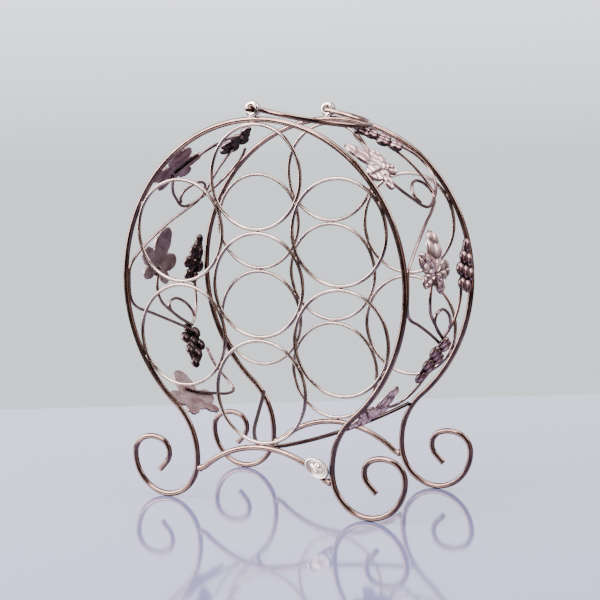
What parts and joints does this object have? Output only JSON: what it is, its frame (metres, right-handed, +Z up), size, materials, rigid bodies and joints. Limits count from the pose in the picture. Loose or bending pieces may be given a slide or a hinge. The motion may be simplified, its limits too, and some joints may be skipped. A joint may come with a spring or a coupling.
{
  "type": "wine rack",
  "caption": "Barrel-shaped bronze wire wine rack with ring cradles between two hooped end frames on scroll feet, leaf and grape side panels and a folding bow handle",
  "frame": {"origin": "on the floor under the middle of the rack", "axes": "+Z up, +Y from the bottle-neck side towards the back, +X to the right seen from the front"},
  "size_m": [0.3228, 0.16, 0.3835],
  "materials": {
    "frame": "glossy antique bronze lacquer",
    "ring": "glossy antique bronze lacquer",
    "handle": "glossy antique bronze lacquer, rubbed on the bow",
    "eye": "glossy antique bronze lacquer",
    "vine": "glossy antique bronze lacquer",
    "leaf": "semi-gloss antique copper, dark in the creases",
    "grape": "semi-gloss antique copper, dark in the creases",
    "badge": "rubbed antique copper"
  },
  "bodies": {
    "rack": {"front_loop": "frame", "back_loop": "frame", "front_ring_centre": "ring", "front_ring_top": "ring", "front_ring_bottom": "ring", "front_ring_upper_left": "ring", "front_ring_upper_right": "ring", "front_ring_lower_left": "ring", "front_ring_lower_right": "ring", "back_ring_centre": "ring", "back_ring_top": "ring", "back_ring_bottom": "ring", "back_ring_upper_left": "ring", "back_ring_upper_right": "ring", "back_ring_lower_left": "ring", "back_ring_lower_right": "ring", "front_arch": "frame", "back_arch": "frame", "badge": "badge", "front_eye": "eye", "back_eye": "eye", "right_outer_scroll": "vine", "right_inner_scroll": "vine", "right_top_stem": "vine", "right_main_vine": "vine", "right_leaf_stem": "vine", "right_grape_stem": "vine", "right_foot_vine": "vine", "right_stay": "frame", "right_upper_leaf": "leaf", "right_middle_leaf": "leaf", "right_lower_leaf": "leaf", "right_upper_grapes": "grape", "right_middle_grapes": "grape", "right_lower_grapes": "grape", "left_outer_scroll": "vine", "left_inner_scroll": "vine", "left_top_stem": "vine", "left_main_vine": "vine", "left_leaf_stem": "vine", "left_grape_stem": "vine", "left_foot_vine": "vine", "left_stay": "frame", "left_upper_leaf": "leaf", "left_middle_leaf": "leaf", "left_lower_leaf": "leaf", "left_upper_grapes": "grape", "left_middle_grapes": "grape", "left_lower_grapes": "grape"},
    "handle": {"handle": "handle"}
  },
  "joints": [
    {"name": "handle_hinge", "type": "hinge", "parent": "rack", "child": "handle", "pos_m": [0, 0, 0.376], "axis": [0, -1, 0], "range_deg": [0, 206]}
  ]
}
